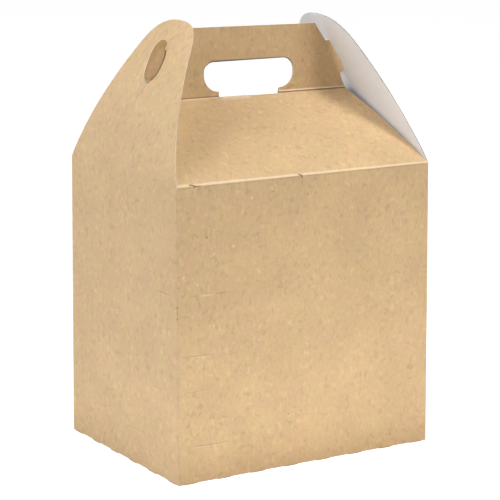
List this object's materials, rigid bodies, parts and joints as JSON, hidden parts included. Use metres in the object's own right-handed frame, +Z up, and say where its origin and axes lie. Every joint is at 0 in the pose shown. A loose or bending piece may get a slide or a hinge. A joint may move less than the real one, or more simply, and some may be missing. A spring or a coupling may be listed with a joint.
{
  "type": "gable box",
  "caption": "Folded kraft paperboard gable box with a carry handle, a hand hole and a latching ear over each side wall.",
  "frame": {"origin": "centre of the footprint, on the surface the box stands on", "axes": "+Z up, -Y out of the front wall, +X to the right seen from the front"},
  "size_m": [0.203, 0.155, 0.3043],
  "materials": {
    "kraft_carton": "uncoated kraft paperboard, white inside",
    "kraft_ears": "uncoated kraft paperboard, white inside"
  },
  "bodies": {
    "carton": {"carton_body": "kraft_carton"},
    "left_ear": {"left_ear": "kraft_ears"},
    "right_ear": {"right_ear": "kraft_ears"}
  },
  "joints": [
    {"name": "left_ear_fold", "type": "hinge", "parent": "carton", "child": "left_ear", "pos_m": [-0.1012, 0, 0.2027], "axis": [0, -1, 0], "range_deg": [0, 145]},
    {"name": "right_ear_fold", "type": "hinge", "parent": "carton", "child": "right_ear", "pos_m": [0.1012, 0, 0.2027], "axis": [0, 1, 0], "range_deg": [0, 145]}
  ]
}
